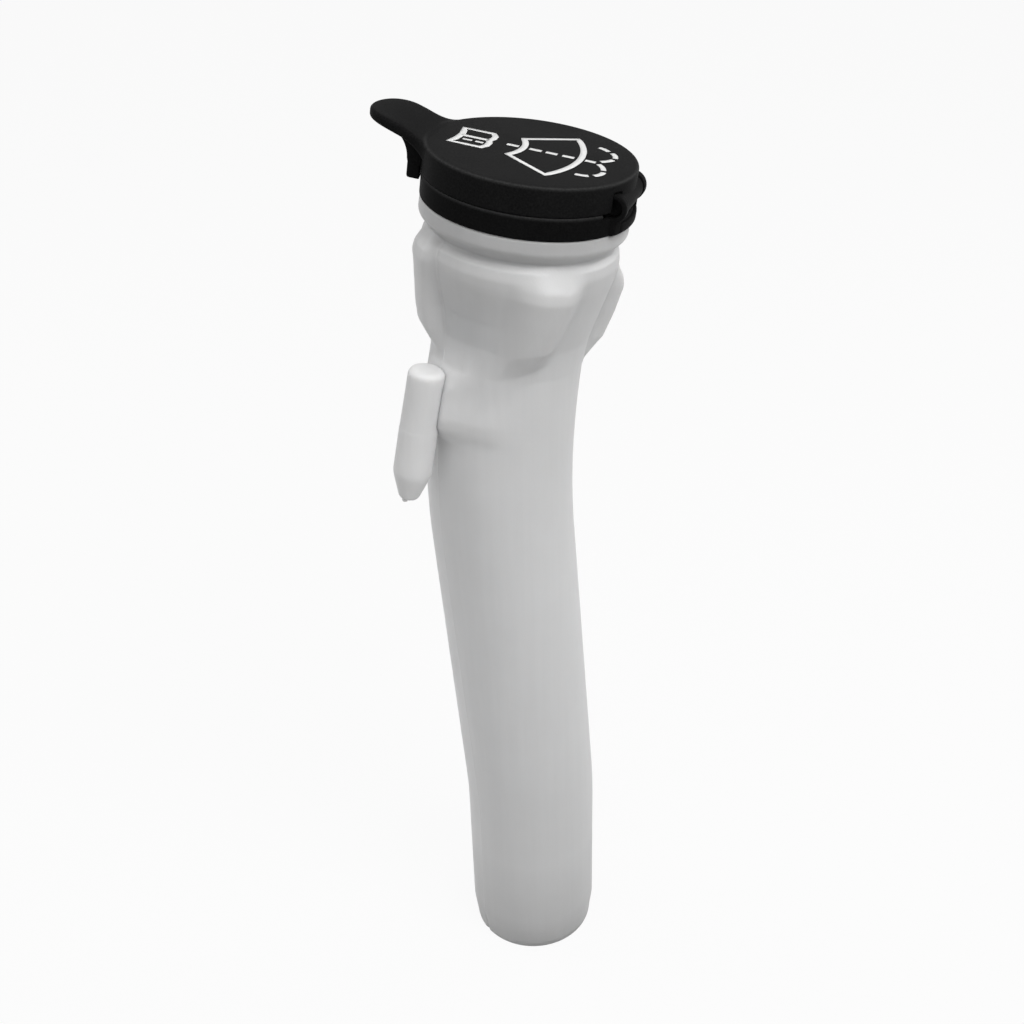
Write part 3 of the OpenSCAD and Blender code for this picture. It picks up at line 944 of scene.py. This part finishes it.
def painted_neck_shade(tree, coords):
    """Painted shade: greyer toward the head under the black cap, and toward the spigot's end, where
    less light falls.
    """
    parts = tree.nodes.new("ShaderNodeSeparateXYZ")
    tree.links.new(coords, parts.inputs["Vector"])
    height = tree.nodes.new("ShaderNodeMapRange")
    height.inputs["From Min"].default_value = NECK_SHADE_LOW * MM
    height.inputs["From Max"].default_value = NECK_SHADE_HIGH * MM
    tree.links.new(parts.outputs["Z"], height.inputs["Value"])
    stops = [((z - NECK_SHADE_LOW) / (NECK_SHADE_HIGH - NECK_SHADE_LOW), grey(tone)) for z, tone in NECK_PAINTED_SHADE]
    return tones(tree, height.outputs["Result"], stops)


def blown_polyethylene():
    """Milky blown plastic: cloudy, with faint streaks along the pipe and a soft satin skin."""
    material, tree, shader, coords = new_material("blown_polyethylene")
    cloud = noise(tree, coords, 32, 3)
    streaks = noise(tree, stretched(tree, coords, (420, 420, 9)), 1, 2)
    base = tones(tree, cloud, [(0.3, grey(0.76)), (0.7, grey(0.80))])
    lines = tones(tree, streaks, [(0.35, grey(0.75)), (0.65, grey(0.81))])
    # the neck's colour is multiplied by painted shade, darker toward the head and toward the
    # spigot's end
    tone = mixed(tree, mixed(tree, base, lines, 0.25), painted_neck_shade(tree, coords), 1, "MULTIPLY")
    tree.links.new(tone, shader.inputs["Base Color"])
    tree.links.new(spread(tree, cloud, 0.40, 0.52), shader.inputs["Roughness"])
    waves = bump(tree, noise(tree, coords, 75, 2), 0.0005, 0.35)
    skin = bump(tree, noise(tree, coords, 1500, 3), 0.00005, 0.5, waves)
    tree.links.new(skin, shader.inputs["Normal"])
    shader.inputs["IOR"].default_value = 1.5
    shader.inputs["Subsurface Weight"].default_value = 0.75
    shader.inputs["Subsurface Radius"].default_value = (1.0, 0.97, 0.94)
    shader.inputs["Subsurface Scale"].default_value = 0.005
    return material


def near(tree, value, middle, reach):
    """One at the middle, falling to nothing at the reach."""
    off = tree.nodes.new("ShaderNodeMath")
    off.operation = "SUBTRACT"
    off.inputs[1].default_value = middle
    tree.links.new(value, off.inputs[0])
    size = tree.nodes.new("ShaderNodeMath")
    size.operation = "ABSOLUTE"
    tree.links.new(off.outputs[0], size.inputs[0])
    made = tree.nodes.new("ShaderNodeMapRange")
    made.inputs["From Max"].default_value = reach
    made.inputs["To Min"].default_value = 1
    made.inputs["To Max"].default_value = 0
    tree.links.new(size.outputs[0], made.inputs["Value"])
    return made.outputs["Result"]


def painted_edge_highlight(tree, coords, radius, height):
    """Share of the painted highlight, a greyer band along a round edge of the cap."""
    place = AT_CAP.inverted()
    turned = tree.nodes.new("ShaderNodeMapping")
    turned.inputs["Location"].default_value = place.to_translation()
    turned.inputs["Rotation"].default_value = place.to_euler()
    tree.links.new(coords, turned.inputs["Vector"])
    parts = tree.nodes.new("ShaderNodeSeparateXYZ")
    tree.links.new(turned.outputs["Vector"], parts.inputs["Vector"])
    flat = tree.nodes.new("ShaderNodeCombineXYZ")
    tree.links.new(parts.outputs["X"], flat.inputs["X"])
    tree.links.new(parts.outputs["Y"], flat.inputs["Y"])
    length = tree.nodes.new("ShaderNodeVectorMath")
    length.operation = "LENGTH"
    tree.links.new(flat.outputs["Vector"], length.inputs[0])
    both = tree.nodes.new("ShaderNodeMath")
    both.operation = "MULTIPLY"
    tree.links.new(near(tree, length.outputs["Value"], radius * MM, HIGHLIGHT_BAND * MM), both.inputs[0])
    tree.links.new(near(tree, parts.outputs["Z"], height * MM, HIGHLIGHT_BAND * MM), both.inputs[1])
    return both.outputs[0]


def grained_black(name, low, high, rough, highlight_height):
    """Black moulded plastic with a fine spark-eroded grain and a painted highlight as a greyer band
    along its round edge.
    """
    material, tree, shader, coords = new_material(name)
    cloud = noise(tree, coords, 45, 4, 0.6)
    grain = noise(tree, coords, 1900, 3, 0.6)
    base = tones(tree, cloud, [(0.3, (low, low, low * 1.03)), (0.75, (high, high, high * 1.02))])
    fleck = tones(tree, grain, [(0.35, grey(low * 0.6)), (0.7, grey(high * 1.5))])
    highlight_tone = tones(tree, grain, [(0.3, grey(0.022)), (0.7, grey(0.040))])
    # painted highlight: a greyer band along the round edge at this height
    edge = painted_edge_highlight(tree, coords, CAP_R - HIGHLIGHT_INSET, highlight_height)
    tone = mixed(tree, mixed(tree, base, fleck, 0.4), highlight_tone, edge)
    tree.links.new(tone, shader.inputs["Base Color"])
    tree.links.new(spread(tree, grain, rough - 0.06, rough + 0.08), shader.inputs["Roughness"])
    waves = bump(tree, noise(tree, coords, 60, 2), 0.0003, 0.3)
    skin = bump(tree, grain, 0.00012, 0.6, waves)
    tree.links.new(skin, shader.inputs["Normal"])
    shader.inputs["IOR"].default_value = 1.5
    shader.inputs["Specular IOR Level"].default_value = 0.007
    return material


def printed_white():
    """White printing ink, a little uneven on the grain."""
    material, tree, shader, coords = new_material("printed_white")
    cloud = noise(tree, coords, 900, 3, 0.6)
    tone = tones(tree, cloud, [(0.3, (0.60, 0.60, 0.595)), (0.65, (0.68, 0.68, 0.675))])
    tree.links.new(tone, shader.inputs["Base Color"])
    tree.links.new(spread(tree, cloud, 0.45, 0.6), shader.inputs["Roughness"])
    tree.links.new(bump(tree, cloud, 0.00004, 0.5), shader.inputs["Normal"])
    return material


# stage, light and camera

def seen_directly(tree):
    """One where the camera, a reflection or a clear piece sees the surface."""
    path = tree.nodes.new("ShaderNodeLightPath")
    total = path.outputs["Is Camera Ray"]
    for name in ("Is Glossy Ray", "Is Transmission Ray"):
        more = tree.nodes.new("ShaderNodeMath")
        more.operation = "MAXIMUM"
        tree.links.new(total, more.inputs[0])
        tree.links.new(path.outputs[name], more.inputs[1])
        total = more.outputs[0]
    return total


def pale_floor():
    """Matt floor that glows white where it is seen directly."""
    material = bpy.data.materials.new("pale_floor")
    material.use_nodes = True
    tree = material.node_tree
    tree.nodes.clear()
    out = tree.nodes.new("ShaderNodeOutputMaterial")
    matt = tree.nodes.new("ShaderNodeBsdfDiffuse")
    matt.inputs["Color"].default_value = (*grey(FLOOR_TONE), 1)
    glow = tree.nodes.new("ShaderNodeEmission")
    glow.inputs["Color"].default_value = (1, 1, 1, 1)
    mix = tree.nodes.new("ShaderNodeMixShader")
    share = tree.nodes.new("ShaderNodeMath")
    share.operation = "MULTIPLY"
    share.inputs[1].default_value = FLOOR_GLOW
    tree.links.new(seen_directly(tree), share.inputs[0])
    tree.links.new(share.outputs[0], mix.inputs["Fac"])
    tree.links.new(matt.outputs["BSDF"], mix.inputs[1])
    tree.links.new(glow.outputs["Emission"], mix.inputs[2])
    tree.links.new(mix.outputs["Shader"], out.inputs["Surface"])
    return material


def studio():
    """The floor just under the spigot, and a sky that is white where it is seen directly."""
    low = -(SPIGOT_LEN / 2 + LEAD_LEN + FLOOR_GAP) * MM
    mesh = bpy.data.meshes.new("floor")
    corners = ((-1, -1), (1, -1), (1, 1), (-1, 1))
    mesh.from_pydata([(x * FLOOR_HALF, y * FLOOR_HALF, low) for x, y in corners], [], [range(4)])
    mesh.materials.append(pale_floor())
    floor = bpy.data.objects.new("floor", mesh)
    bpy.context.scene.collection.objects.link(floor)
    world = bpy.data.worlds.new("studio")
    bpy.context.scene.world = world
    world.use_nodes = True
    tree = world.node_tree
    sky = next(n for n in tree.nodes if n.type == "BACKGROUND")
    sky.inputs["Color"].default_value = (1, 1, 1, 1)
    level = tree.nodes.new("ShaderNodeMapRange")
    level.inputs["To Min"].default_value = SKY_LIGHT
    level.inputs["To Max"].default_value = 1.0
    tree.links.new(seen_directly(tree), level.inputs["Value"])
    tree.links.new(level.outputs["Result"], sky.inputs["Strength"])


def lamp(name, at, toward, size, power):
    """A square lamp turned toward a point."""
    light = bpy.data.lights.new(name, "AREA")
    light.size = size
    light.energy = power
    obj = bpy.data.objects.new(name, light)
    bpy.context.scene.collection.objects.link(obj)
    obj.location = at
    obj.rotation_euler = (Vector(toward) - Vector(at)).to_track_quat("-Z", "Y").to_euler()


def photo_camera():
    """The camera that was fitted to the photograph."""
    right, up = Vector(CAMERA_RIGHT).normalized(), Vector(CAMERA_UP).normalized()
    back = right.cross(up)
    camera = bpy.data.cameras.new("camera")
    camera.sensor_width = CAMERA_SENSOR
    camera.lens = CAMERA_LENS
    camera.clip_start = 0.01
    obj = bpy.data.objects.new("camera", camera)
    bpy.context.scene.collection.objects.link(obj)
    turn = Matrix((right, up, back)).transposed().to_4x4()
    obj.matrix_world = Matrix.Translation(CAMERA_AT) @ turn
    bpy.context.scene.camera = obj


photo_camera()
studio()
for lamp_name, settings in LAMPS.items():
    lamp(lamp_name, *settings)

neck_plastic = blown_polyethylene()
lid_plastic = grained_black("lid_plastic", low=0.006, high=0.0105, rough=0.45,
                            highlight_height=LID_TOP - 0.35)
collar_plastic = grained_black("collar_plastic", low=0.0045, high=0.0075, rough=0.45,
                               highlight_height=COLLAR_H - 0.25)
ink = printed_white()

peg_mesh = mesh_of("peg", peg_skins(), AT_MOUTH)
neck_mesh = joined("neck", [mesh_of("skin", [neck_skin()]), peg_mesh])
piece("blown_neck", neck_mesh, neck_plastic, "neck", "blown_neck", "filler_neck")
piece("snap_collar", collar_mesh(), collar_plastic, "neck", "collar_plastic", "cap_collar")
piece("hinged_lid", lid_mesh(), lid_plastic, "lid", "lid_plastic", "lid")

strokes = stroke_tree()
outlines = [(FAN, True), (BOOK, True)]
dashes = [(arc_through(*line, 8) if len(line) == 3 else line, False) for line in OPEN_LINES]
pages = [(line, False) for line in PAGE_LINES]
for sign_name, lines, width in (("sign_outlines", outlines, STROKE_W),
                                ("sign_dashes", dashes, DASH_W),
                                ("page_lines", pages, PAGE_LINE_W)):
    sign = strokes_mesh(sign_name, strokes, lines, width, ink)
    piece(sign_name, sign, ink, "lid", None)

bpy.context.scene.view_settings.view_transform = "Standard"
